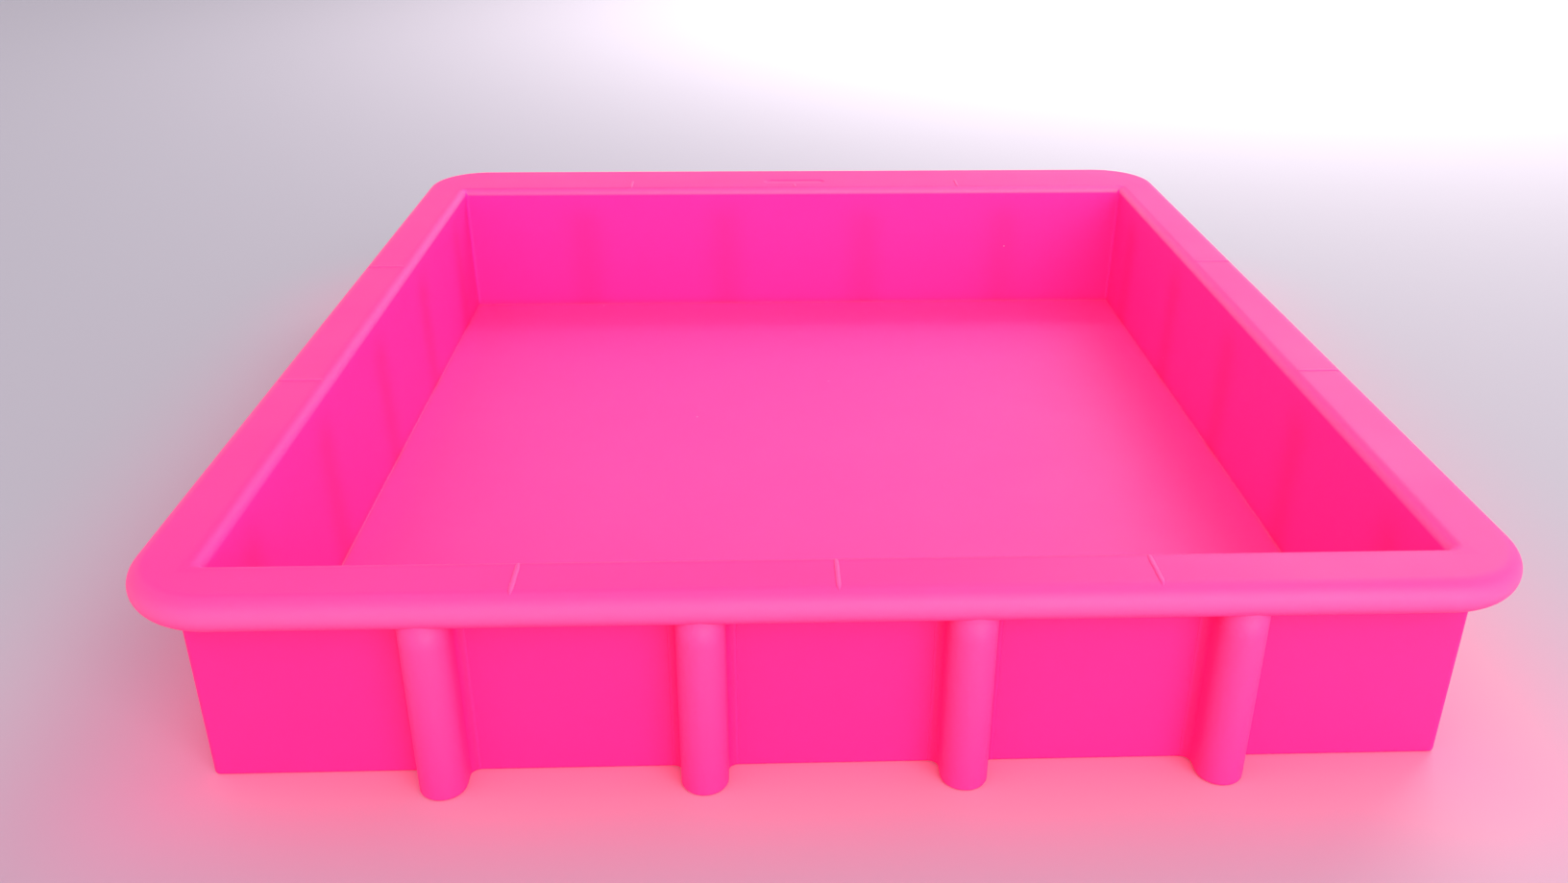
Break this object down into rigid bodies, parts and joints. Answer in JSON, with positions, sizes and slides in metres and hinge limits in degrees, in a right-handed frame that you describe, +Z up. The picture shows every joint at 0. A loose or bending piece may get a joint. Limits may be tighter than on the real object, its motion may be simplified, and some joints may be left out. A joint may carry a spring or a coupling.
{
  "type": "soap slab mould",
  "caption": "Shallow rectangular silicone mould for a slab of soap: open tray with upright ribs round its walls and a rolled rim that carries raised cutting guides.",
  "frame": {"origin": "centre of the flat underside of the base, on the surface that the mould stands on, midway between the cavity's walls", "axes": "+Z up out of the open top, +Y to the wider back rim (the long way), +X to the right seen from the front, so the front faces -Y"},
  "size_m": [0.2712, 0.3096, 0.0476],
  "materials": {
    "silicone": "satin, slightly translucent, fine moulded surface"
  },
  "bodies": {
    "root": {"floor_panel": "silicone", "front_wall": "silicone", "right_wall": "silicone", "back_wall": "silicone", "left_wall": "silicone", "rim_front": "silicone", "rim_right": "silicone", "rim_back": "silicone", "rim_left": "silicone", "front_rib_1": "silicone", "front_rib_2": "silicone", "front_rib_3": "silicone", "front_rib_4": "silicone", "back_rib_1": "silicone", "back_rib_2": "silicone", "back_rib_3": "silicone", "back_rib_4": "silicone", "left_rib_1": "silicone", "left_rib_2": "silicone", "left_rib_3": "silicone", "left_rib_4": "silicone", "left_rib_5": "silicone", "right_rib_1": "silicone", "right_rib_2": "silicone", "right_rib_3": "silicone", "right_rib_4": "silicone", "right_rib_5": "silicone", "front_guides": "silicone", "right_guides": "silicone", "back_guides": "silicone", "left_guides": "silicone"}
  },
  "joints": []
}
